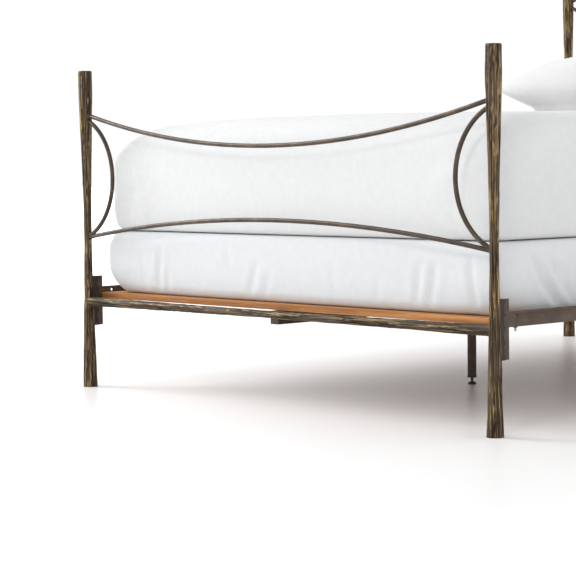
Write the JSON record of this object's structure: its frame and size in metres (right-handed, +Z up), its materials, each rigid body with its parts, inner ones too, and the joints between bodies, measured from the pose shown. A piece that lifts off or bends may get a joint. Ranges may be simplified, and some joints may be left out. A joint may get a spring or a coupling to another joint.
{
  "type": "four-post bed",
  "caption": "Four-post forged-metal bed with hourglass posts, bent-rod foot and head boards, angle-iron rails, slats, box spring, mattress and pillows.",
  "frame": {"origin": "on the floor at the middle of the bed: the bottom centre of the whole bed's box", "axes": "+Z up, +Y from the foot to the head, +X to the right as seen from the foot"},
  "size_m": [1.6406, 2.2404, 1.35],
  "materials": {
    "forged": "hand-forged bark texture, antique bronze with rubbed brass ridges",
    "rod_bronze": "smooth satin antique bronze",
    "rail_iron": "matt brown baked coating",
    "slat_wood": "planed softwood, light oil",
    "zinc": "zinc plated",
    "black_nylon": "matt black moulded nylon",
    "box_spring_cloth": "white cotton cover, tucked at the corners",
    "mattress_cloth": "soft white cotton cover",
    "pillow_cloth": "plump white cotton"
  },
  "bodies": {
    "frame": {"foot_post_left": "forged", "foot_post_right": "forged", "head_post_left": "forged", "head_post_right": "forged", "foot_cross_bar": "forged", "head_cross_bar": "forged", "foot_top_rod": "rod_bronze", "foot_lower_rod": "rod_bronze", "foot_bow_left": "rod_bronze", "foot_bow_right": "rod_bronze", "head_top_rod": "rod_bronze", "head_lower_rod": "rod_bronze", "head_bow_left": "rod_bronze", "head_bow_right": "rod_bronze", "foot_bracket_left": "rail_iron", "foot_bracket_right": "rail_iron", "head_bracket_left": "rail_iron", "head_bracket_right": "rail_iron", "foot_hook_plate_left": "rail_iron", "foot_hook_plate_right": "rail_iron", "head_hook_plate_left": "rail_iron", "head_hook_plate_right": "rail_iron", "side_rail_left": "rail_iron", "side_rail_right": "rail_iron", "centre_beam": "rail_iron", "centre_leg_foot": "rail_iron", "centre_leg_head": "rail_iron", "slat_1": "slat_wood", "slat_2": "slat_wood", "slat_3": "slat_wood", "slat_4": "slat_wood", "slat_5": "slat_wood", "slat_6": "slat_wood", "slat_screws": "zinc", "slat_nuts": "zinc", "beam_screws": "zinc", "leg_screws": "zinc", "beam_cap_foot": "black_nylon", "beam_cap_head": "black_nylon", "leg_insert_foot": "black_nylon", "leg_insert_head": "black_nylon"},
    "box_spring": {"box_spring": "box_spring_cloth"},
    "mattress": {"mattress": "mattress_cloth"},
    "pillow_left": {"pillow_left": "pillow_cloth"},
    "pillow_right": {"pillow_right": "pillow_cloth"},
    "leveller_foot": {"levelling_foot_foot": "black_nylon"},
    "leveller_head": {"levelling_foot_head": "black_nylon"}
  },
  "joints": [
    {"name": "box_spring_lift", "type": "slide", "parent": "frame", "child": "box_spring", "axis": [0, 0, 1], "range_m": [0, 1.1]},
    {"name": "mattress_lift", "type": "slide", "parent": "box_spring", "child": "mattress", "axis": [0, 0, 1], "range_m": [0, 0.92]},
    {"name": "pillow_left_lift", "type": "slide", "parent": "mattress", "child": "pillow_left", "axis": [0, 0, 1], "range_m": [0, 0.6]},
    {"name": "pillow_right_lift", "type": "slide", "parent": "mattress", "child": "pillow_right", "axis": [0, 0, 1], "range_m": [0, 0.6]},
    {"name": "leveller_foot_screw", "type": "slide", "parent": "frame", "child": "leveller_foot", "axis": [0, 0, -1], "range_m": [-0.008, 0.012]},
    {"name": "leveller_head_screw", "type": "slide", "parent": "frame", "child": "leveller_head", "axis": [0, 0, -1], "range_m": [-0.008, 0.012]}
  ]
}
